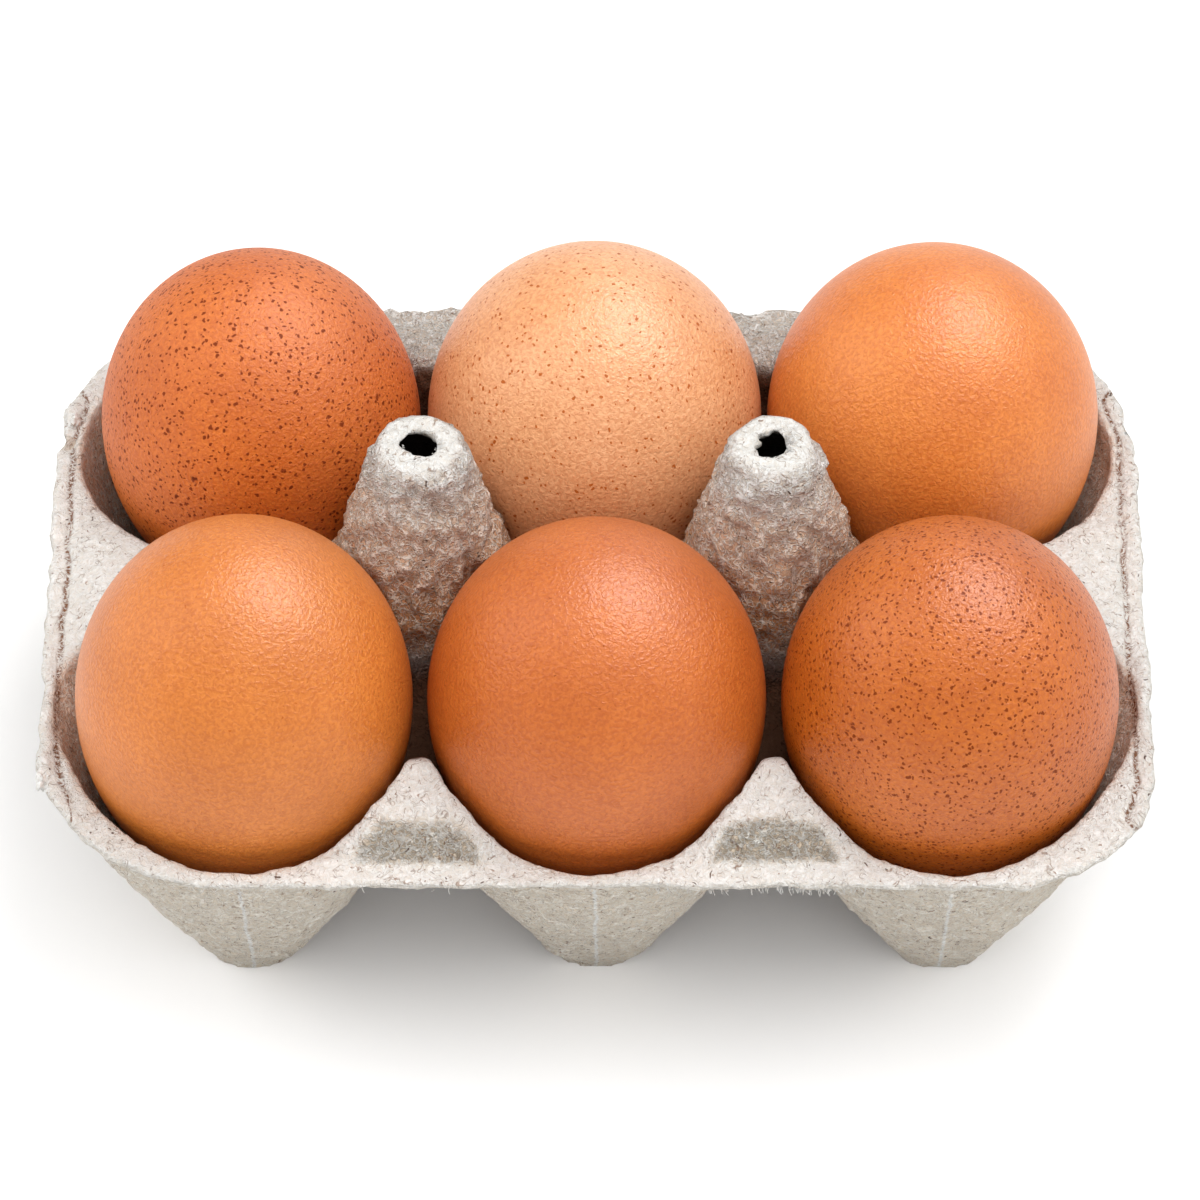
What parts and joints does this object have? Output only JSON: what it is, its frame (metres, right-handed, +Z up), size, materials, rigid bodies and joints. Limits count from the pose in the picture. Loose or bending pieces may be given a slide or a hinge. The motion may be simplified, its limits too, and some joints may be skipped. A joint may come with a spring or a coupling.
{
  "type": "egg carton with eggs",
  "caption": "Open moulded-pulp tray with tapered cells, raised lands between them and two hollow pierced posts, holding brown hens' eggs with their blunt ends up.",
  "frame": {"origin": "on the ground below the middle of the tray", "axes": "+Z up, +X along the tray's length to the right as seen from the front, the front is -Y"},
  "size_m": [0.1496, 0.104, 0.0742],
  "materials": {
    "pulp": "rough felted grey-beige paper pulp with brown flecks",
    "shell_tan": "satin eggshell, fine pores, nearly plain",
    "shell_orange_brown": "satin eggshell, fine pores, few spots",
    "shell_freckled": "satin eggshell with small dark freckles",
    "shell_dark_freckled": "satin eggshell, reddish brown with dense dark freckles",
    "shell_pale": "satin eggshell, pale peach with fine orange freckles",
    "shell_golden": "satin eggshell, golden tan, faint freckles"
  },
  "bodies": {
    "root": {"tray": "pulp", "egg_front_left": "shell_tan", "egg_front_middle": "shell_orange_brown", "egg_front_right": "shell_freckled", "egg_back_left": "shell_dark_freckled", "egg_back_middle": "shell_pale", "egg_back_right": "shell_golden"}
  },
  "joints": []
}
